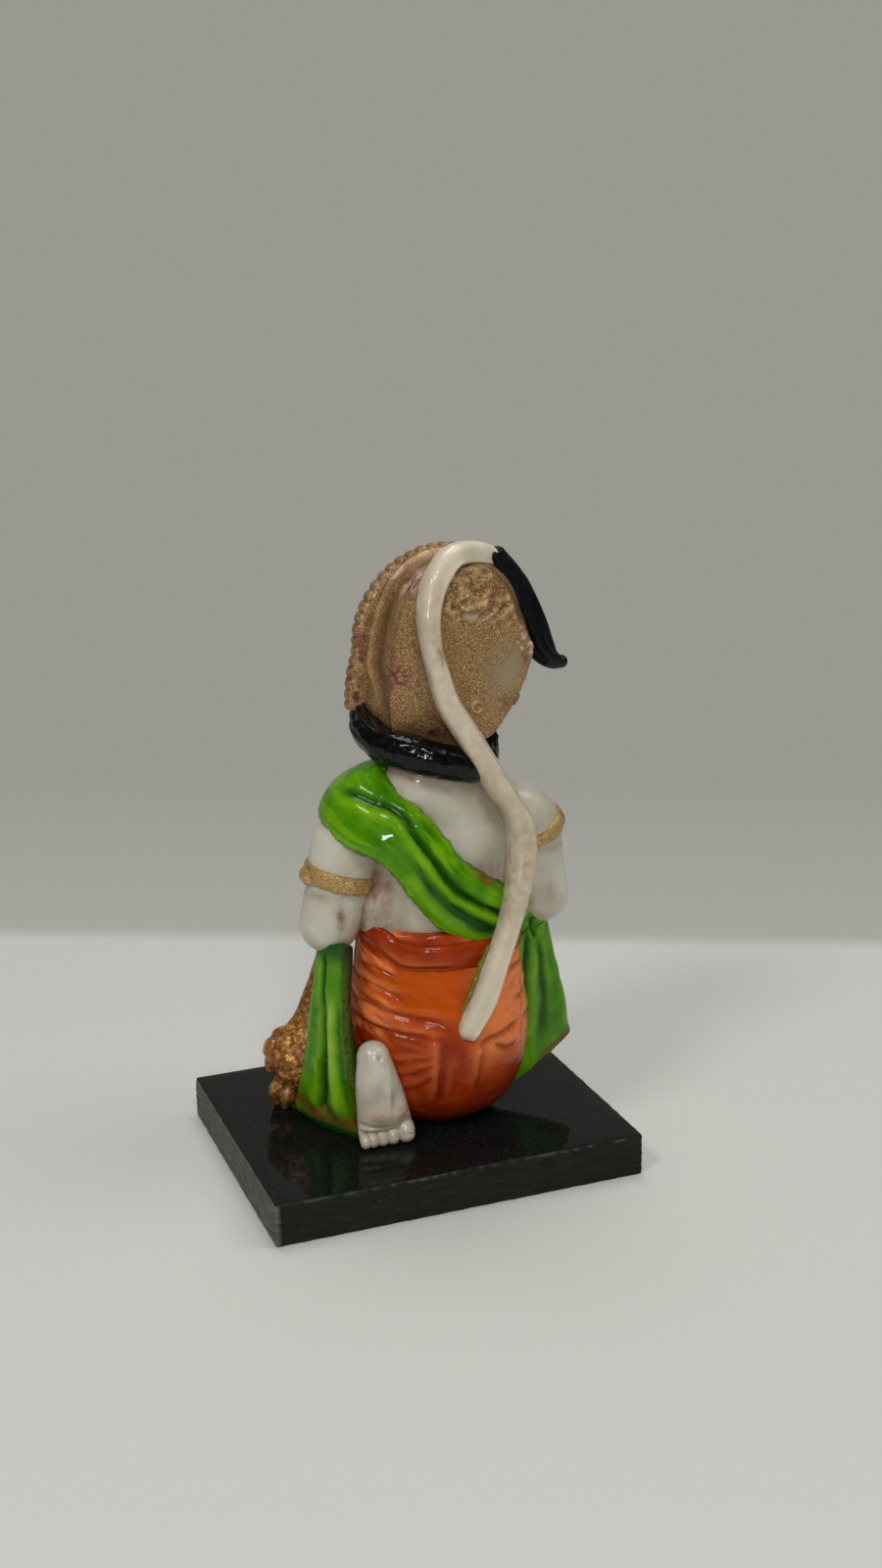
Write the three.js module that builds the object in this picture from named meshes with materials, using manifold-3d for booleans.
// Kneeling devotional figure with a raised tail, a crown and a mace, on a polished stone plinth.
// The figure is an assembly of sections cast in marble dust and resin, glued together and painted.
// Millimetres, +Z up. The origin is the middle of the plinth's underside, and the figure faces -Y.
import * as THREE from "three";
import { mergeVertices } from "three/addons/utils/BufferGeometryUtils.js";
import Module from "manifold-3d";

// Plinth
const SLAB_L = 64;
const SLAB_W = 52;
const SLAB_T = 7.2;
const SLAB_EDGE = 0.4;
const GLUE_T = 0.3;
const GLUE_INSET = 3;
const FIGURE_X = -5;
const CLEAR = 0.3;

// Seat and trunk
const BODY_Y = 3;
const SEAT_W = 30;
const SEAT_D = 26;
const SEAT_H = 34.5;
const SEAT_FOLD = 0.5;
const WAIST_W = 26.4;
const WAIST_D = 20.4;
const BAND_H = 5.5;
const BAND_T = 0.9;
const SPIGOT_H = 3;
const SPIGOT_WALL = 2;
const TRUNK_H = 18.5;
const CHEST_W = 26;
const CHEST_D = 18;
const NECK_RISE = 9;
const NECK_R = 5.4;

// Arms and hands
const SHOULDER_X = 15;
const SHOULDER_R = 5.6;
const ELBOW_X = 19;
const ELBOW_DROP = 17;
const ELBOW_FORWARD = 1.5;
const ELBOW_R = 5;
const WRIST_X = 4.6;
const WRIST_Y = -13;
const WRIST_DROP = 5.5;
const WRIST_R = 3.1;
const HAND_L = 13;
const PALM_W = 6.6;
const PALM_T = 3;
const ARMLET_T = 0.7;
const ARMLET_H = 2.7;
const ARMLET_AT = { left: 0.58, right: 0.44 };
const BANGLE_T = 0.8;
const BANGLE_H = 2.6;

// Legs and feet
const HIP_X = 7;
const THIGH_R = 9;
const KNEE_R = 7;
const KNEEL_X = 8.8;
const KNEE_Y = -17;
const RAISED_X = -12;
const RAISED_Z = 24.5;
const SHIN_R = 5;
const ANKLE_R = 3.5;
const FOOT_L = 18;
const FOOT_W = 9.6;
const FOOT_T = 5.6;
const TOE_R = 1.5;

// Head, hair and crown
const HEAD_TILT = 10;
const HEAD_W = 19.2;
const HEAD_D = 19.6;
const HEAD_H = 24;
const HEAD_LIFT = 2;
const MUZZLE_L = 7;
const MUZZLE_R = 5.2;
const EAR_R = 3;
const EAR_T = 0.9;
const EARRING_R = 1.5;
const HAIR_R = 3;
const CROWN_W = 26;
const CROWN_H = 31;
const CROWN_D = 13.5;
const CROWN_Z = 19;
const CROWN_EDGE = 1.2;
const RIM_R = 15.5;
const RIM_RISE = 0.8;
const RIM_T = 3;
const RIM_Y = -4;
const BEAD_R = 1.1;
const CREST_W = 10;
const CREST_H = 11;
const CREST_T = 1.6;
const BROW_BAND_R = 1.5;

// Tail
const TAIL_W = 4.1;
const TAIL_T = 4.6;
const TUFT_W = 4.6;
const TUFT_T = 3.6;

// Shawl
const SASH_W = 11.4;
const SASH_T = 3.4;
const SASH_CAP = 1.3;
const SASH_FOLD = 0.35;
const HANG_T = 3;
const LEFT_HANG_W = 8;
const RIGHT_HANG_W = 8.4;
const HEM_SLOPE = 27;

// Mace
const MACE_X = 24.6;
const MACE_Y = -9;
const MACE_R = 6.5;
const MACE_H = 9.6;
const FINIAL_R = 3.4;
const FINIAL_H = 4.2;
const SHAFT_R = 2.1;

// Levels and faces that the sections share
const SHOULDER_Z = SEAT_H + TRUNK_H;
const NECK_Z = SHOULDER_Z + NECK_RISE;
const SEAT_BACK = BODY_Y + SEAT_D / 2;
const CHEST_BACK = BODY_Y + CHEST_D / 2;
const CROWN_BACK = RIM_Y - BODY_Y + RIM_T + CROWN_D;
const ELBOW_Z = SHOULDER_Z - ELBOW_DROP;
const WRIST_Z = SHOULDER_Z - WRIST_DROP;
const SOLE_X = SEAT_W / 2 - 1.6;
const SOLE_Y = SEAT_BACK - FOOT_T * 0.84;
const FAR = 200;

const BACKWARD = new THREE.Vector3(0, 1, 0);
const UPWARD = new THREE.Vector3(0, 0, 1);

const wasm = await Module();
wasm.setup();

// Materials
const finish = (color, roughness, metalness = 0) =>
  new THREE.MeshStandardMaterial({ color, roughness, metalness });
const STONE = finish(0x1b1c1d, 0.12);
const GLUE = finish(0xd8d2bf, 0.5);
const MARBLE = finish(0xe9e5dc, 0.3);
const IVORY = finish(0xe6d9c4, 0.25);
const ORANGE = finish(0xc9480f, 0.25);
const GREEN = finish(0x4f9a0c, 0.22);
const GOLD = finish(0xa07a3c, 0.45, 0.6);
const BLACK = finish(0x0c0d10, 0.15);

// Groups: the figure stands on the plinth, and the head and the mace lean within the figure
const model = new THREE.Group();
const figure = new THREE.Group();
figure.position.set(FIGURE_X, 0, SLAB_T + GLUE_T);
const head = new THREE.Group();
head.position.set(0, BODY_Y, NECK_Z);
head.rotation.y = -THREE.MathUtils.degToRad(HEAD_TILT);
const mace = new THREE.Group();
const maceFoot = new THREE.Vector3(MACE_X, MACE_Y, 0);
const grip = new THREE.CatmullRomCurve3(forearmKeys(1).map((k) => k.at)).getPoint(0.5);
const maceAxis = new THREE.Vector3().subVectors(grip, maceFoot);
mace.position.copy(maceFoot);
mace.quaternion.setFromUnitVectors(UPWARD, maceAxis.clone().normalize());
model.add(figure);
figure.add(head, mace);
model.updateMatrixWorld(true);

// One key section of a limb: its centre, half width and half depth
function key(x, y, z, w, d = w) {
  return { at: new THREE.Vector3(x, y, z), w, d };
}

const roundOutline = (angle) => [Math.cos(angle), Math.sin(angle)];

// Rings of points joined into one closed skin, with a point at each end
function skin(rings, first, last) {
  const count = rings[0].length;
  const points = [first, ...rings.flat(), last];
  const faces = [];
  const at = (ring, side) => 1 + ring * count + (side % count);
  for (let side = 0; side < count; side++) {
    faces.push(0, at(0, side + 1), at(0, side));
    for (let ring = 0; ring + 1 < rings.length; ring++) {
      faces.push(at(ring, side), at(ring, side + 1), at(ring + 1, side + 1));
      faces.push(at(ring, side), at(ring + 1, side + 1), at(ring + 1, side));
    }
    faces.push(points.length - 1, at(rings.length - 1, side), at(rings.length - 1, side + 1));
  }
  const geometry = new THREE.BufferGeometry().setFromPoints(points);
  geometry.setIndex(faces);
  return geometry;
}

// A loft along a smooth spine through key sections. The depth of each section lies towards face,
// ends gives how far each end bulges as a share of its depth, and bend curls the section's sides inwards.
function limb(keys, options = {}) {
  const { face = BACKWARD, sides = 16, steps = 10, ends = [1, 1] } = options;
  const { outline = roundOutline, bend = 0 } = options;
  const spine = new THREE.CatmullRomCurve3(keys.map((k) => k.at));
  const sizes = new THREE.CatmullRomCurve3(keys.map((k) => new THREE.Vector3(k.w, k.d, 0)));
  const capSteps = 3;

  const place = (t, along) => {
    const tangent = spine.getTangent(t);
    const centre = spine.getPoint(t).addScaledVector(tangent, along);
    const hint = face.isVector3 ? face : face(centre);
    const across = new THREE.Vector3().crossVectors(tangent, hint).normalize();
    const deep = new THREE.Vector3().crossVectors(across, tangent);
    return { centre, across, deep };
  };
  const ring = (t, along, scale) => {
    const { centre, across, deep } = place(t, along);
    const size = sizes.getPoint(t);
    return Array.from({ length: sides }, (_, side) => {
      const [u, v] = outline((side / sides) * Math.PI * 2, t);
      const wide = u * size.x * scale;
      return centre
        .clone()
        .addScaledVector(across, wide)
        .addScaledVector(deep, v * size.y * scale - bend * wide * wide);
    });
  };

  const rings = [];
  const capped = (t, sign, share) => {
    const depth = sizes.getPoint(t).y * share;
    const cap = [];
    for (let step = 1; step < capSteps && share > 0; step++) {
      const angle = (step / capSteps) * (Math.PI / 2);
      cap.push(ring(t, sign * depth * Math.sin(angle), Math.cos(angle)));
    }
    return { cap, tip: place(t, sign * depth).centre };
  };
  const start = capped(0, -1, ends[0]);
  const end = capped(1, 1, ends[1]);
  rings.push(...start.cap.reverse());
  for (let step = 0; step <= steps; step++) rings.push(ring(step / steps, 0, 1));
  rings.push(...end.cap);
  const geometry = skin(rings, start.tip, end.tip);
  return solidOf(geometry).volume() < 0 ? turned(geometry) : geometry;
}

// The same surface with its faces turned round
function turned(geometry) {
  const index = geometry.getIndex();
  for (let i = 0; i < index.count; i += 3) {
    const second = index.getX(i + 1);
    index.setX(i + 1, index.getX(i + 2));
    index.setX(i + 2, second);
  }
  return geometry;
}

// Geometry and closed solid, each from the other
function bare(geometry) {
  const plain = new THREE.BufferGeometry();
  plain.setAttribute("position", geometry.getAttribute("position").clone());
  if (geometry.getIndex()) plain.setIndex(geometry.getIndex().clone());
  return mergeVertices(plain, 1e-4);
}
function solidOf(geometry) {
  const merged = bare(geometry);
  return new wasm.Manifold(
    new wasm.Mesh({
      numProp: 3,
      vertProperties: new Float32Array(merged.getAttribute("position").array),
      triVerts: new Uint32Array(merged.getIndex().array),
    }),
  );
}
function geometryOf(solid) {
  const { vertProperties, triVerts } = solid.getMesh();
  const geometry = new THREE.BufferGeometry();
  geometry.setAttribute("position", new THREE.BufferAttribute(vertProperties, 3));
  geometry.setIndex(new THREE.BufferAttribute(triVerts, 1));
  return geometry;
}

// Several overlapping shapes joined into one
function joined(...shapes) {
  return geometryOf(shapes.map(solidOf).reduce((all, solid) => all.add(solid)));
}

// A shape with its whole surface moved outwards
function grown(geometry, by) {
  const fat = bare(geometry);
  fat.computeVertexNormals();
  const position = fat.getAttribute("position");
  const normal = fat.getAttribute("normal");
  for (let i = 0; i < position.count; i++) {
    position.setXYZ(
      i,
      position.getX(i) + by * normal.getX(i),
      position.getY(i) + by * normal.getY(i),
      position.getZ(i) + by * normal.getZ(i),
    );
  }
  return fat;
}

// A form is a shape in the frame of one group. Forms may overlap until fitted cuts them.
const form = (group, geometry) => ({ group, geometry });

function block(group, low, high) {
  const size = new THREE.Vector3().subVectors(high, low);
  const middle = new THREE.Vector3().addVectors(low, high).multiplyScalar(0.5);
  const geometry = new THREE.BoxGeometry(size.x, size.y, size.z).translate(middle.x, middle.y, middle.z);
  return form(group, geometry);
}
const floor = block(figure, new THREE.Vector3(-FAR, -FAR, -FAR), new THREE.Vector3(FAR, FAR, 0));

// The piece that is left of a form when the floor and its neighbours, with their clearance, are cut away
function fitted(own, neighbours = [], cutters = []) {
  let solid = solidOf(own.geometry);
  const toOwn = (other, geometry) =>
    geometry.applyMatrix4(own.group.matrixWorld.clone().invert().multiply(other.group.matrixWorld));
  for (const other of neighbours) {
    solid = solid.subtract(solidOf(toOwn(other, grown(other.geometry, CLEAR))));
  }
  for (const other of [floor, ...cutters]) {
    solid = solid.subtract(solidOf(toOwn(other, bare(other.geometry))));
  }
  const bodies = solid.decompose().sort((a, b) => b.volume() - a.volume());
  return geometryOf(bodies[0]);
}

function addPiece(group, name, geometry, material) {
  const mesh = new THREE.Mesh(geometry, material);
  mesh.name = name;
  group.add(mesh);
}
function addFitted(name, material, own, neighbours, cutters) {
  addPiece(own.group, name, fitted(own, neighbours, cutters), material);
}

// Plinth slab with its sharp edges just broken, and the bed of glue under the seat
function slabShape() {
  const outline = new THREE.Shape();
  const halfL = SLAB_L / 2 - SLAB_EDGE;
  const halfW = SLAB_W / 2 - SLAB_EDGE;
  outline.moveTo(-halfL, -halfW).lineTo(halfL, -halfW).lineTo(halfL, halfW).lineTo(-halfL, halfW).closePath();
  const bevel = { bevelThickness: SLAB_EDGE, bevelSize: SLAB_EDGE, bevelSegments: 1 };
  const slab = new THREE.ExtrudeGeometry(outline, { depth: SLAB_T - 2 * SLAB_EDGE, ...bevel });
  return slab.translate(0, 0, SLAB_EDGE);
}
function glueShape() {
  const radius = SEAT_W * 0.26 - GLUE_INSET / 2;
  const disc = new THREE.CylinderGeometry(radius, radius, GLUE_T, 20).rotateX(Math.PI / 2);
  return disc.translate(FIGURE_X, BODY_Y - GLUE_INSET / 2, SLAB_T + GLUE_T / 2);
}

// Seat: the dhoti wrapped round the hips, with folds that sag towards the back
function seatForm(extra = 0, from = 0, to = SEAT_H) {
  const w = SEAT_W / 2 + extra;
  const d = SEAT_D / 2 + extra;
  const waistW = WAIST_W / 2 + extra;
  const waistD = WAIST_D / 2 + extra;
  const all = [
    key(0, BODY_Y - 1.5, 0, w * 0.48, d * 0.52),
    key(0, BODY_Y - 0.8, SEAT_H * 0.09, w * 0.76, d * 0.78),
    key(0, BODY_Y, SEAT_H * 0.25, w * 0.95, d * 0.96),
    key(0, BODY_Y, SEAT_H * 0.45, w, d),
    key(0, BODY_Y, SEAT_H * 0.7, w * 0.95, d * 0.92),
    key(0, BODY_Y, SEAT_H * 0.88, waistW * 1.02, waistD * 1.04),
    key(0, BODY_Y, SEAT_H, waistW, waistD),
  ];
  const spine = new THREE.CatmullRomCurve3(all.map((k) => k.at));
  const sizes = new THREE.CatmullRomCurve3(all.map((k) => new THREE.Vector3(k.w, k.d, 0)));
  const rings = extra > 0 ? 4 : 12;
  const keys = Array.from({ length: rings }, (_, i) => {
    const t = from / SEAT_H + ((to - from) / SEAT_H) * (i / (rings - 1));
    const at = spine.getPoint(t);
    const size = sizes.getPoint(t);
    return { at, w: size.x, d: size.y };
  });
  const folds = 5;
  const sag = 1.6;
  const swag = (angle, t) => {
    const back = Math.max(0, Math.sin(angle));
    const fade = Math.sin(Math.PI * t);
    const wave = (SEAT_FOLD / w) * fade * Math.sin(2 * Math.PI * folds * t + sag * Math.PI * back);
    return [Math.cos(angle) * (1 + wave), Math.sin(angle) * (1 + wave)];
  };
  const outline = extra > 0 ? roundOutline : swag;
  return form(figure, limb(keys, { sides: 24, steps: rings - 1, ends: [0, 0], outline }));
}

// Trunk: bare back and chest, with the neck above and a spigot that plugs into the seat
function trunkForm() {
  const w = CHEST_W / 2;
  const d = CHEST_D / 2;
  const spigotW = WAIST_W / 2 - SPIGOT_WALL;
  const spigotD = WAIST_D / 2 - SPIGOT_WALL;
  const keys = [
    key(0, BODY_Y, SEAT_H - SPIGOT_H, spigotW, spigotD),
    key(0, BODY_Y, SEAT_H + TRUNK_H * 0.12, w * 0.9, d * 0.96),
    key(0, BODY_Y, SEAT_H + TRUNK_H * 0.4, w * 0.94, d),
    key(0, BODY_Y, SHOULDER_Z - TRUNK_H * 0.25, w, d),
    key(0, BODY_Y, SHOULDER_Z, w * 0.97, d * 0.95),
    key(0, BODY_Y, SHOULDER_Z + NECK_RISE * 0.46, w * 0.62, d * 0.75),
    key(0, BODY_Y, NECK_Z - NECK_RISE * 0.15, NECK_R * 1.04),
    key(0, BODY_Y, NECK_Z + HEAD_LIFT, NECK_R),
  ];
  return form(figure, limb(keys, { sides: 20, steps: 10, ends: [0, 0] }));
}

// One arm: an upper arm that hangs, a forearm that turns in to the chest and a hand with its palm inwards
function upperArmKeys(side) {
  const lerp = THREE.MathUtils.lerp;
  const step = (share, radius) => {
    const x = lerp(SHOULDER_X, ELBOW_X, share);
    return key(side * x, BODY_Y - share * ELBOW_FORWARD, SHOULDER_Z - share * ELBOW_DROP, radius);
  };
  return [
    key(side * SHOULDER_X * 0.66, BODY_Y, SHOULDER_Z + SHOULDER_R * 0.1, SHOULDER_R * 0.86),
    step(0.16, SHOULDER_R * 0.98),
    step(0.6, (SHOULDER_R + ELBOW_R) / 2),
    step(1, ELBOW_R),
  ];
}
function forearmKeys(side) {
  const swell = (ELBOW_R + WRIST_R) / 2;
  return [
    key(side * ELBOW_X, BODY_Y - ELBOW_FORWARD, ELBOW_Z, ELBOW_R * 0.96),
    key(side * (ELBOW_X * 0.74), WRIST_Y * 0.4, ELBOW_Z + 3.5, swell * 1.1),
    key(side * (ELBOW_X * 0.45), WRIST_Y * 0.82, (ELBOW_Z + WRIST_Z) / 2 + 2.2, swell),
    key(side * WRIST_X, WRIST_Y, WRIST_Z, WRIST_R),
  ];
}
function handForm(side) {
  const inner = PALM_T / 2 + CLEAR / 2;
  const fingers = 4;
  const grooves = (angle, t) => {
    const groove = t > 0.4 ? 0.12 * Math.abs(Math.sin(angle * fingers)) : 0;
    return [Math.cos(angle) * (1 - groove), Math.sin(angle) * (1 - groove)];
  };
  const keys = [
    key(side * (WRIST_X - 0.5), WRIST_Y - 0.4, WRIST_Z + 0.6, WRIST_R * 0.86, WRIST_R * 0.6),
    key(side * inner * 1.35, WRIST_Y - 1.4, WRIST_Z + HAND_L * 0.3, PALM_W / 2, PALM_T / 2),
    key(side * inner, WRIST_Y - 1.7, WRIST_Z + HAND_L * 0.6, PALM_W * 0.47, PALM_T * 0.45),
    key(side * inner * 0.9, WRIST_Y - 1.6, WRIST_Z + HAND_L * 0.85, PALM_W * 0.36, PALM_T * 0.36),
    key(side * inner * 0.85, WRIST_Y - 1.4, WRIST_Z + HAND_L, PALM_W * 0.2, PALM_T * 0.28),
  ];
  const face = new THREE.Vector3(side, 0, 0);
  return form(figure, limb(keys, { face, sides: 12, steps: 6, ends: [0, 0.8], outline: grooves }));
}

// A plain ring round a stretch of a limb, made by swelling the limb's own keys
function ringForm(keys, middle, height, thickness) {
  const spine = new THREE.CatmullRomCurve3(keys.map((k) => k.at));
  const half = height / spine.getLength() / 2;
  const sizes = new THREE.CatmullRomCurve3(keys.map((k) => new THREE.Vector3(k.w, k.d, 0)));
  const swell = [0.55, 1, 1, 0.55];
  const ringKeys = swell.map((share, i) => {
    const t = THREE.MathUtils.lerp(middle - half, middle + half, i / (swell.length - 1));
    const size = sizes.getPoint(t);
    const proud = CLEAR + thickness * share;
    return { at: spine.getPoint(t), w: size.x + proud, d: size.y + proud };
  });
  return form(figure, limb(ringKeys, { sides: 12, steps: 3, ends: [0, 0] }));
}

// Legs: the left knee is on the ground and the right knee is raised
function kneelingThighForm() {
  const keys = [
    key(HIP_X, BODY_Y - 2, THIGH_R * 1.1, THIGH_R),
    key((HIP_X + KNEEL_X) / 2, (BODY_Y + KNEE_Y) / 2, THIGH_R * 0.95, THIGH_R * 0.92),
    key(KNEEL_X, KNEE_Y, KNEE_R * 0.96, KNEE_R),
  ];
  return form(figure, limb(keys, { face: UPWARD, sides: 14, steps: 5, ends: [0, 0.8] }));
}
function raisedThighForm() {
  const keys = [
    key(-HIP_X, BODY_Y - 2, THIGH_R * 1.45, THIGH_R),
    key((RAISED_X - HIP_X) / 2, (BODY_Y + KNEE_Y) / 2, (THIGH_R * 1.45 + RAISED_Z) / 2, THIGH_R * 0.92),
    key(RAISED_X, KNEE_Y + 1.5, RAISED_Z, KNEE_R),
  ];
  return form(figure, limb(keys, { face: UPWARD, sides: 14, steps: 5, ends: [0, 0.8] }));
}
function shinKeys() {
  return [
    key(RAISED_X, KNEE_Y + 1, RAISED_Z - 2.5, SHIN_R * 1.12),
    key(RAISED_X + 0.2, KNEE_Y - 0.5, RAISED_Z * 0.57, SHIN_R),
    key(RAISED_X + 0.8, KNEE_Y + 0.5, ANKLE_R * 1.5, ANKLE_R),
  ];
}

// A foot with its five toes, the great toe on the inner side
function toes(count, place) {
  return Array.from({ length: count }, (_, i) => {
    const share = i / (count - 1);
    const radius = TOE_R * (1.2 - 0.45 * share);
    const { x, y, z } = place(share, radius);
    return new THREE.SphereGeometry(radius, 7, 4).translate(x, y, z);
  });
}
function soleUpFootForm() {
  const keys = [
    key(SOLE_X + 1.4, SOLE_Y - 0.2, FOOT_L * 0.87, FOOT_W * 0.26, FOOT_T / 2),
    key(SOLE_X + 0.9, SOLE_Y, FOOT_L * 0.62, FOOT_W * 0.34, FOOT_T * 0.53),
    key(SOLE_X + 0.3, SOLE_Y, FOOT_L * 0.34, FOOT_W * 0.44, FOOT_T * 0.52),
    key(SOLE_X, SOLE_Y + 0.2, FOOT_L * 0.14, FOOT_W * 0.49, FOOT_T * 0.44),
  ];
  const sole = limb(keys, { sides: 12, steps: 5, ends: [0.9, 0.9] });
  const across = FOOT_W * 0.43;
  const row = toes(5, (share, radius) => ({
    x: SOLE_X - across + 2 * across * share,
    y: SOLE_Y + FOOT_T * 0.36 - share * 0.5,
    z: radius * 0.98 + share * 0.4,
  }));
  return form(figure, joined(sole, ...row));
}
function flatFootForm() {
  const x = RAISED_X + 0.8;
  const heel = KNEE_Y + ANKLE_R;
  const length = FOOT_L * 0.54;
  const keys = [
    key(x, heel - 1, FOOT_T * 0.5, FOOT_W * 0.32, FOOT_T * 0.5),
    key(x, heel - length * 0.5, FOOT_T * 0.44, FOOT_W * 0.37, FOOT_T * 0.44),
    key(x, heel - length, FOOT_T * 0.28, FOOT_W * 0.42, FOOT_T * 0.3),
  ];
  const foot = limb(keys, { face: UPWARD, sides: 10, steps: 4, ends: [0.7, 0.6] });
  const across = FOOT_W * 0.34;
  const row = toes(5, (share, radius) => ({
    x: x + across - 2 * across * share,
    y: heel - length - 0.6 + share * 1.2,
    z: radius * 0.9,
  }));
  return form(figure, joined(foot, ...row));
}

// Head in its own tilted frame, whose origin is the top of the neck
function headForm() {
  const w = HEAD_W / 2;
  const d = HEAD_D / 2;
  const middle = -BODY_Y - 1;
  const skull = limb(
    [
      key(0, middle + 1, HEAD_LIFT, w * 0.68, d * 0.66),
      key(0, middle, HEAD_LIFT + HEAD_H * 0.22, w * 0.92, d * 0.92),
      key(0, middle, HEAD_LIFT + HEAD_H * 0.5, w, d),
      key(0, middle + 0.4, HEAD_LIFT + HEAD_H * 0.78, w * 0.93, d * 0.94),
      key(0, middle + 1, HEAD_LIFT + HEAD_H, w * 0.62, d * 0.62),
    ],
    { sides: 14, steps: 6, ends: [0.5, 0] },
  );
  const front = middle - d;
  const muzzleZ = HEAD_LIFT + HEAD_H * 0.26;
  const muzzle = limb(
    [
      key(0, front + 5, muzzleZ + 0.8, MUZZLE_R * 1.16, MUZZLE_R),
      key(0, front + 0.5, muzzleZ + 0.4, MUZZLE_R, MUZZLE_R * 0.88),
      key(0, front + 5 - MUZZLE_L, muzzleZ, MUZZLE_R * 0.84, MUZZLE_R * 0.7),
    ],
    { face: UPWARD, sides: 12, steps: 4, ends: [0.5, 0.5] },
  );
  const noseR = MUZZLE_R * 0.3;
  const nose = limb(
    [
      key(0, front + 0.6, muzzleZ + MUZZLE_R * 1.05, noseR * 0.7),
      key(0, front + 4.2 - MUZZLE_L, muzzleZ + MUZZLE_R * 0.62, noseR * 1.15),
    ],
    { face: UPWARD, sides: 8, steps: 2 },
  );
  const browZ = HEAD_LIFT + HEAD_H * 0.56;
  const brow = limb(
    [
      key(-w * 0.66, front + 3, browZ - 0.4, 1),
      key(0, front + 0.2, browZ + 0.4, 1.3),
      key(w * 0.66, front + 3, browZ - 0.4, 1),
    ],
    { face: UPWARD, sides: 8, steps: 6 },
  );
  return form(head, joined(skull, muzzle, nose, brow));
}
function earForm(side) {
  const x = side * (HEAD_W / 2 + 0.6);
  const z = HEAD_LIFT + HEAD_H * 0.42;
  const y = RIM_Y - BODY_Y - 1.6;
  const keys = [
    key(x - side * 0.6, y, z - EAR_R, EAR_R * 0.5, EAR_T),
    key(x + side * 0.6, y, z, EAR_R * 0.8, EAR_T * 1.2),
    key(x, y, z + EAR_R, EAR_R * 0.5, EAR_T),
  ];
  return form(head, limb(keys, { face: BACKWARD, sides: 8, steps: 3 }));
}
function earringForm(side) {
  const drop = new THREE.SphereGeometry(EARRING_R, 10, 6);
  const lobe = HEAD_LIFT + HEAD_H * 0.42 - EAR_R - EAR_T;
  return form(head, drop.translate((side * HEAD_W) / 2, RIM_Y - BODY_Y - 1.6, lobe - CLEAR - EARRING_R));
}

// Hair rolled round the nape from ear to ear, under the crown's lower edge
function hairForm() {
  const step = (across, deep, up, size) =>
    key((across * CROWN_W) / 2, CROWN_BACK * deep, HAIR_R * up, HAIR_R * size);
  const keys = [
    step(0.95, -0.48, 2, 0.63),
    step(0.95, -0.16, 1.47, 0.87),
    step(0.86, 0.32, 0.97, 0.97),
    step(0.68, 0.72, 0.83, 1),
    step(0.44, 0.95, 0.73, 1),
    step(0.08, 1.05, 0.6, 0.97),
    step(-0.2, 1.01, 0.43, 0.83),
    step(-0.45, 0.84, 0.67, 0.67),
    step(-0.63, 0.53, 1.2, 0.53),
    step(-0.72, 0.16, 1.8, 0.43),
  ];
  return form(head, limb(keys, { face: UPWARD, sides: 10, steps: 16 }));
}

// Crown: an egg-shaped drum with a flat back, behind a round rim with a beaded edge. The drum's lower
// part is squared off at the rim, most of all on the left, and its back is narrowed on the left where the
// tail runs and high on the right where the tuft lies.
function crownForm() {
  const w = CROWN_W / 2;
  const h = CROWN_H / 2;
  const front = RIM_Y - BODY_Y;
  const narrowFrom = 0.7;
  const egg = (angle, t) => {
    const side = Math.cos(angle);
    const rise = Math.sin(angle);
    const left = side > 0;
    const low = left ? 0.3 + 0.5 * t : 0.55 + 0.45 * t;
    const reach = Math.abs(side) ** (rise < 0 ? low : 1);
    const backLeft = Math.min(1, 0.71 + 0.45 * rise);
    const backRight = 0.9 - 0.6 * Math.max(0, rise - 0.1);
    const share = THREE.MathUtils.smoothstep(t, narrowFrom, 1);
    const narrow = THREE.MathUtils.lerp(1, left ? backLeft : backRight, share);
    return [Math.sign(side) * reach * narrow, rise];
  };
  const keys = [
    key(0, front, CROWN_Z, w * 1.02, h),
    key(0, front + CROWN_D * 0.35, CROWN_Z, w * 0.96, h * 0.98),
    key(0, front + CROWN_D * 0.75, CROWN_Z, w * 0.87, h * 0.96),
    key(0, CROWN_BACK - CROWN_EDGE, CROWN_Z, w * 0.82, h * 0.93),
  ];
  const ends = [0, CROWN_EDGE / (h * 0.93)];
  return form(head, limb(keys, { face: UPWARD, sides: 24, steps: 6, ends, outline: egg }));
}
function rimForm() {
  const beads = 44;
  const pitch = (2 * Math.PI) / beads;
  const low = -0.12 * Math.PI;
  const cheek = RIM_R * Math.cos(low) + 0.1;
  const shape = new THREE.Shape();
  const steps = Math.round((Math.PI - 2 * low) / pitch);
  const edgeTo = (angle, radius) => {
    const rise = RIM_RISE * Math.max(0, Math.sin(angle));
    shape.lineTo(radius * Math.cos(angle), (radius + rise) * Math.sin(angle));
  };
  shape.moveTo(cheek, -RIM_R * 0.8);
  edgeTo(low, RIM_R);
  for (let i = 0; i < steps; i++) {
    edgeTo(low + (i + 0.5) * pitch, RIM_R + BEAD_R * 0.6);
    edgeTo(low + (i + 1) * pitch, RIM_R);
  }
  shape.lineTo(-cheek, -RIM_R * 0.6);
  shape.closePath();
  const plate = new THREE.ExtrudeGeometry(shape, { depth: RIM_T, bevelEnabled: false });
  plate.rotateX(Math.PI / 2).translate(0, RIM_Y - BODY_Y + RIM_T, CROWN_Z);
  return form(head, plate);
}
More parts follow.
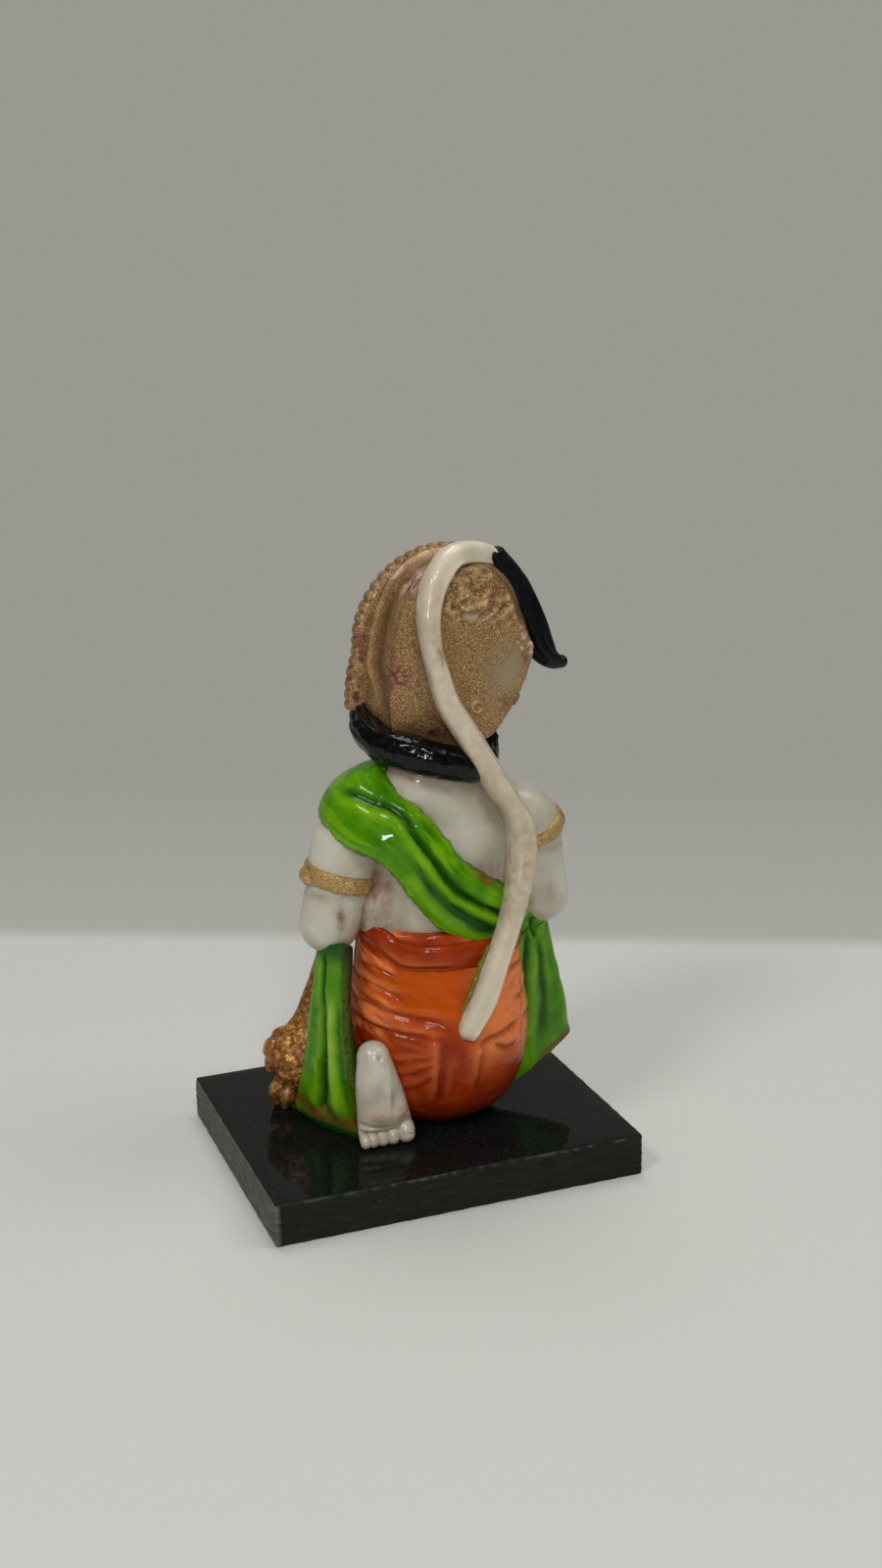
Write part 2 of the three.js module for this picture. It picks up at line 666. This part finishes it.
function browBandForm() {
  const w = HEAD_W / 2;
  const front = -BODY_Y - 1 - HEAD_D / 2;
  const z = HEAD_LIFT + HEAD_H * 0.68;
  const keys = [
    key(-w * 1.04, RIM_Y - BODY_Y - 1, z - 1.6, BROW_BAND_R),
    key(-w * 0.7, front + 2.7, z, BROW_BAND_R),
    key(0, front + 0.3, z + 0.8, BROW_BAND_R),
    key(w * 0.7, front + 2.7, z, BROW_BAND_R),
    key(w * 1.04, RIM_Y - BODY_Y - 1, z - 1.6, BROW_BAND_R),
  ];
  return form(head, limb(keys, { face: UPWARD, sides: 6, steps: 8 }));
}
function crestForm() {
  const leaf = new THREE.Shape();
  leaf.moveTo(0, CREST_H);
  const w = CREST_W / 2;
  const belly = CREST_H * 0.25;
  leaf.bezierCurveTo(w * 0.2, CREST_H * 0.72, w, CREST_H * 0.6, w, belly);
  leaf.bezierCurveTo(w, 0, w * 0.4, 0, 0, 0);
  leaf.bezierCurveTo(-w * 0.4, 0, -w, 0, -w, belly);
  leaf.bezierCurveTo(-w, CREST_H * 0.6, -w * 0.2, CREST_H * 0.72, 0, CREST_H);
  const settings = { depth: CREST_T + RIM_T, bevelEnabled: false, curveSegments: 6 };
  const plate = new THREE.ExtrudeGeometry(leaf, settings);
  plate.rotateX(Math.PI / 2).translate(0, RIM_Y - BODY_Y + RIM_T / 2, CROWN_Z + 3);
  return form(head, plate);
}

// Tail: rises from the seat over the sash and up the crown's back edge, and crosses the crown's top.
// Each point is set from the level and the surface that the tail lies on: how far it stands off is a share
// of the tail's own thickness on the seat, of the sash's on the trunk and of the drum's depth on the crown.
function tailForm() {
  const seatPoint = (across, off, up) =>
    new THREE.Vector3((across * SEAT_W) / 2, SEAT_BACK + TAIL_T * off, SEAT_H * up);
  const trunkPoint = (across, off, up) =>
    new THREE.Vector3((across * CHEST_W) / 2, CHEST_BACK + SASH_T * off, SEAT_H + TRUNK_H * up);
  const crownPoint = (across, off, up) => {
    const y = CROWN_BACK + CROWN_D * off;
    const point = new THREE.Vector3((across * CROWN_W) / 2, y, CROWN_Z + CROWN_H * up);
    return point.applyMatrix4(head.matrix);
  };
  const points = [
    seatPoint(0.01, -0.07, 0.56),
    seatPoint(-0.17, 0.04, 0.7),
    seatPoint(-0.33, 0.04, 0.89),
    trunkPoint(-0.55, 1.24, 0.15),
    trunkPoint(-0.7, 1.06, 0.49),
    trunkPoint(-0.785, 0.7, 0.73),
    trunkPoint(-0.777, 0.47, 1.01),
    trunkPoint(-0.66, 0.41, 1.18),
    trunkPoint(-0.485, 0.47, 1.37),
    trunkPoint(-0.32, 0.59, 1.56),
    crownPoint(-0.01, 0.11, -0.384),
    crownPoint(0.33, 0.1, -0.24),
    crownPoint(0.49, 0.08, -0.087),
    crownPoint(0.64, 0.06, 0.06),
    crownPoint(0.7, 0.01, 0.21),
    crownPoint(0.64, -0.07, 0.36),
    crownPoint(0.42, -0.2, 0.484),
    crownPoint(0.12, -0.36, 0.522),
    crownPoint(-0.13, -0.48, 0.522),
    crownPoint(-0.285, -0.49, 0.5),
  ];
  const thinFrom = 0.45;
  const thin = 0.85;
  const keys = points.map((at, i) => {
    const share = i / (points.length - 1);
    const late = Math.max(0, share - thinFrom) / (1 - thinFrom);
    const scale = THREE.MathUtils.lerp(1, thin, late);
    return { at, w: (TAIL_W / 2) * scale, d: (TAIL_T / 2) * scale };
  });
  const crownLevel = NECK_Z + CROWN_Z;
  const outward = (point) => new THREE.Vector3(0, 1, Math.max(0, point.z - crownLevel) / 8);
  return form(figure, limb(keys, { face: outward, sides: 7, steps: 28, ends: [0.5, 0] }));
}

// Tuft: the tail's dark tip, which hangs down the crown's side and flicks out
function tuftForm() {
  const step = (across, off, up, w, d) => {
    const y = CROWN_BACK + CROWN_D * off;
    return key((across * CROWN_W) / 2, y, CROWN_Z + CROWN_H * up, TUFT_W * w, TUFT_T * d);
  };
  const keys = [
    step(-0.32, -0.49, 0.5, 0.4, 0.44),
    step(-0.51, -0.4, 0.36, 0.52, 0.5),
    step(-0.74, -0.3, 0.18, 0.54, 0.54),
    step(-0.94, -0.27, 0.06, 0.44, 0.5),
    step(-1.12, -0.3, 0.01, 0.34, 0.4),
    step(-1.32, -0.34, 0, 0.24, 0.3),
  ];
  return form(head, limb(keys, { sides: 8, steps: 10, ends: [0.2, 0.8] }));
}

// Sash of the shawl: over the left shoulder, across the back and the chest to the right of the waist
const heart = new THREE.Vector3(2, BODY_Y, SHOULDER_Z - TRUNK_H * 0.5);
function sashForm() {
  const w = SASH_W / 2;
  const t = SASH_T / 2;
  const front = BODY_Y - CHEST_D / 2;
  const top = SHOULDER_Z + SHOULDER_R;
  const step = (across, y, z, wide, thick = 1) => key((across * CHEST_W) / 2, y, z, w * wide, t * thick);
  const keys = [
    step(-0.81, BODY_Y - CHEST_D * 0.3, SEAT_H - 0.5, 0.8),
    step(-0.54, front - 1, SEAT_H + TRUNK_H * 0.18, 0.88),
    step(0, front - 1.6, SEAT_H + TRUNK_H * 0.62, 0.96),
    step(0.5, front + 0.6, SHOULDER_Z + 0.5, 1.1),
    key(SHOULDER_X - 2.6, BODY_Y - 4, top + 1, w * SASH_CAP * 0.95, t),
    key(SHOULDER_X + 0.4, BODY_Y + 1, top + 0.8, w * SASH_CAP, t * 1.1),
    key(SHOULDER_X - 1.4, CHEST_BACK - 3, top - 2.2, w * SASH_CAP * 0.89, t * 1.1),
    step(0.8, CHEST_BACK, SHOULDER_Z + 0.4, 0.95),
    step(0.54, CHEST_BACK + 1.2, SEAT_H + TRUNK_H * 0.8, 0.92),
    step(0.29, CHEST_BACK + 1.6, SEAT_H + TRUNK_H * 0.545, 0.93),
    step(-0.02, CHEST_BACK + 1.6, SEAT_H + TRUNK_H * 0.33, 1.02),
    step(-0.46, CHEST_BACK + 0.6, SEAT_H + TRUNK_H * 0.14, 0.97),
    step(-0.85, CHEST_BACK - 3, SEAT_H, 0.8),
  ];
  const pleats = 3;
  const folded = (angle) => {
    const ridge = Math.sin(angle) > 0 ? SASH_FOLD * (Math.cos(2 * pleats * angle) - 0.4) : 0;
    return [Math.cos(angle), Math.sin(angle) * (1 + ridge)];
  };
  const outward = (point) => new THREE.Vector3().subVectors(point, heart);
  const settings = { face: outward, sides: 12, steps: 16, ends: [0, 0], outline: folded, bend: 0.03 };
  return form(figure, limb(keys, settings));
}

// Ends of the shawl, which hang from the elbows beside the hips
const pleated = (angle) => [Math.cos(angle), Math.sin(angle) * (1 + 0.22 * Math.cos(6 * angle))];
function leftHangForm() {
  const w = LEFT_HANG_W / 2;
  const t = HANG_T / 2;
  const hip = SEAT_W / 2;
  const top = ELBOW_Z - ELBOW_R * 0.7;
  const keys = [
    key(ELBOW_X - 1.4, BODY_Y + 2, top, w * 0.87, t),
    key((ELBOW_X + hip) / 2 + 1.4, BODY_Y + 2, top * 0.72, w * 1.07, t),
    key(hip + 4.2, BODY_Y + 1.6, top * 0.36, w * 1.35, t * 1.05),
    key(hip + 4.6, BODY_Y + 0.4, -1, w * 1.72, t * 1.15),
  ];
  const face = new THREE.Vector3(0.66, 0.75, 0);
  return form(figure, limb(keys, { face, sides: 12, steps: 5, ends: [0.4, 0], outline: pleated }));
}
function rightHangForm() {
  const w = RIGHT_HANG_W / 2;
  const t = HANG_T / 2;
  const hip = SEAT_W / 2;
  const top = ELBOW_Z - ELBOW_R * 0.6;
  const keys = [
    key(-(ELBOW_X + hip) / 2 + 0.8, BODY_Y + 0.4, top, w * 0.7, t),
    key(-(ELBOW_X + hip) / 2 + 0.2, BODY_Y + 0.2, top * 0.72, w, t),
    key(-hip - 2, BODY_Y, top * 0.36, w * 1.5, t),
    key(-hip - 1.6, BODY_Y - 0.4, -1, w * 2, t * 1.1),
  ];
  const face = new THREE.Vector3(-0.2, 1, 0);
  return form(figure, limb(keys, { face, sides: 12, steps: 5, ends: [0.4, 0], outline: pleated }));
}
// The right end's hem slopes up and out from beside the hip
function hemCutter() {
  const slope = THREE.MathUtils.degToRad(HEM_SLOPE);
  const box = new THREE.BoxGeometry(FAR, FAR, FAR).translate(0, 0, -FAR / 2);
  return form(figure, box.rotateY(slope).translate(-SEAT_W / 2, 0, SEAT_H * 0.133));
}

// Mace in its own leaning frame: a lobed finial, a knobbed head and a shaft that flares into the head
function finialForm() {
  const lobes = 6;
  const keys = [
    key(0, 0, -2, FINIAL_R * 0.8),
    key(0, 0, FINIAL_H * 0.3, FINIAL_R),
    key(0, 0, FINIAL_H * 0.7, FINIAL_R * 0.94),
    key(0, 0, FINIAL_H, FINIAL_R * 0.7),
  ];
  const lobed = (angle) => {
    const r = 1 - 0.1 * Math.abs(Math.sin((lobes / 2) * angle));
    return [r * Math.cos(angle), r * Math.sin(angle)];
  };
  return form(mace, limb(keys, { sides: 24, steps: 4, ends: [0, 0], outline: lobed }));
}
function maceHeadForm() {
  const knobs = 7;
  const rows = 3;
  const half = MACE_H / 2;
  const middle = FINIAL_H + CLEAR + half - 0.4;
  const rings = 10;
  const keys = Array.from({ length: rings }, (_, i) => {
    const angle = ((i / (rings - 1)) * 0.86 + 0.07) * Math.PI;
    return key(0, 0, middle - half * Math.cos(angle), MACE_R * Math.sin(angle));
  });
  const knobbed = (angle, t) => {
    const row = Math.sin(rows * Math.PI * t);
    const r = 1 + 0.1 * row * Math.cos(knobs * angle) * Math.sin(Math.PI * t);
    return [r * Math.cos(angle), r * Math.sin(angle)];
  };
  return form(mace, limb(keys, { sides: 21, steps: rings - 1, ends: [0, 0], outline: knobbed }));
}
function shaftForm() {
  const foot = FINIAL_H + MACE_H - 1;
  const top = maceAxis.length();
  const profile = new THREE.SplineCurve([
    new THREE.Vector2(SHAFT_R * 1.9, foot),
    new THREE.Vector2(SHAFT_R * 1.4, foot + 2),
    new THREE.Vector2(SHAFT_R * 1.08, foot + 6),
    new THREE.Vector2(SHAFT_R, (foot + top) / 2),
    new THREE.Vector2(SHAFT_R * 0.92, top),
  ]).getPoints(7);
  const closed = [new THREE.Vector2(0, foot), ...profile, new THREE.Vector2(0, top)];
  return form(mace, new THREE.LatheGeometry(closed, 10).rotateX(Math.PI / 2));
}

// All forms, before they are cut to fit each other
const seat = seatForm();
const trunk = trunkForm();
const waistband = seatForm(BAND_T, SEAT_H - BAND_H, SEAT_H);
const sides = { left: 1, right: -1 };
const upperArm = {};
const forearm = {};
const hand = {};
const armlet = {};
const bangle = {};
for (const [name, side] of Object.entries(sides)) {
  upperArm[name] = form(figure, limb(upperArmKeys(side), { sides: 14, steps: 4 }));
  forearm[name] = form(figure, limb(forearmKeys(side), { face: UPWARD, sides: 12, steps: 5, ends: [1, 0] }));
  hand[name] = handForm(side);
  armlet[name] = ringForm(upperArmKeys(side), ARMLET_AT[name], ARMLET_H, ARMLET_T);
  bangle[name] = ringForm(forearmKeys(side), 0.84, BANGLE_H, BANGLE_T);
}
const kneelingThigh = kneelingThighForm();
const raisedThigh = raisedThighForm();
const shin = form(figure, limb(shinKeys(), { sides: 12, steps: 5, ends: [1, 0.6] }));
const soleUpFoot = soleUpFootForm();
const skull = headForm();
const crown = crownForm();
const rim = rimForm();
const crest = crestForm();
const browBand = browBandForm();
const hair = hairForm();
const tail = tailForm();
const tuft = tuftForm();
const sash = sashForm();
const finial = finialForm();
const maceHead = maceHeadForm();
const shaft = shaftForm();

// Plinth
addPiece(model, "plinth_slab", slabShape(), STONE);
addPiece(model, "glue_bed", glueShape(), GLUE);

// Lower body
addFitted("dhoti_seat", ORANGE, seat, [trunk]);
addFitted("dhoti_waistband", ORANGE, waistband, [seat, trunk]);
addFitted("left_thigh_kneeling", ORANGE, kneelingThigh, [seat]);
addFitted("right_thigh_raised", ORANGE, raisedThigh, [seat, waistband, kneelingThigh]);
addFitted("right_shin", MARBLE, shin, [raisedThigh]);
addFitted("right_foot", MARBLE, flatFootForm(), [shin]);
addFitted("right_anklet", GOLD, ringForm(shinKeys(), 0.84, BANGLE_H, BANGLE_T), [shin]);
addFitted("left_foot", MARBLE, soleUpFoot, [seat]);

// Trunk and arms
addPiece(figure, "trunk", trunk.geometry, MARBLE);
for (const name of Object.keys(sides)) {
  addFitted(`${name}_upper_arm`, MARBLE, upperArm[name], [trunk, seat, waistband]);
  addFitted(`${name}_forearm`, MARBLE, forearm[name], [trunk, seat, waistband, upperArm[name]]);
  addFitted(`${name}_hand`, MARBLE, hand[name], [forearm[name]]);
  addFitted(`${name}_armlet`, GOLD, armlet[name], [upperArm[name], forearm[name], trunk]);
  addFitted(`${name}_bangle`, GOLD, bangle[name], [forearm[name], hand[name]]);
}

// Shawl
const limbs = [upperArm, forearm, armlet, bangle].flatMap((pair) => [pair.left, pair.right]);
addFitted("shawl_sash", GREEN, sash, [trunk, seat, waistband, ...limbs, hair, skull]);
const hips = [seat, waistband];
const besideLeft = [...hips, upperArm.left, forearm.left, soleUpFoot, finial, maceHead, shaft];
const besideRight = [...hips, raisedThigh, upperArm.right, forearm.right];
addFitted("shawl_left_end", GREEN, leftHangForm(), besideLeft);
addFitted("shawl_right_end", GREEN, rightHangForm(), besideRight, [hemCutter()]);

// Head, hair and crown
addFitted("head", MARBLE, skull, [trunk]);
addFitted("crown_rim", GOLD, rim, [skull]);
addFitted("crown_drum", GOLD, crown, [skull, rim, trunk]);
addFitted("crown_crest", GOLD, crest, [rim, skull]);
addFitted("crown_brow_band", GOLD, browBand, [skull, rim, crest]);
addFitted("hair_roll", BLACK, hair, [crown, rim, skull, trunk]);
for (const [name, side] of Object.entries(sides)) {
  const ear = earForm(side);
  addFitted(`${name}_ear`, MARBLE, ear, [skull, rim, hair, browBand]);
  addFitted(`${name}_earring`, GOLD, earringForm(side), [ear, skull, hair]);
}

// Tail
addFitted("tail", IVORY, tail, [seat, waistband, sash, trunk, hair, crown, rim, upperArm.right]);
addFitted("tail_tuft", BLACK, tuft, [crown, rim, tail]);

// Mace
addFitted("mace_finial", GOLD, finial);
addFitted("mace_head", GOLD, maceHead, [finial, kneelingThigh]);
addFitted("mace_shaft", GOLD, shaft, [maceHead, forearm.left, upperArm.left, kneelingThigh, seat]);

export default model;
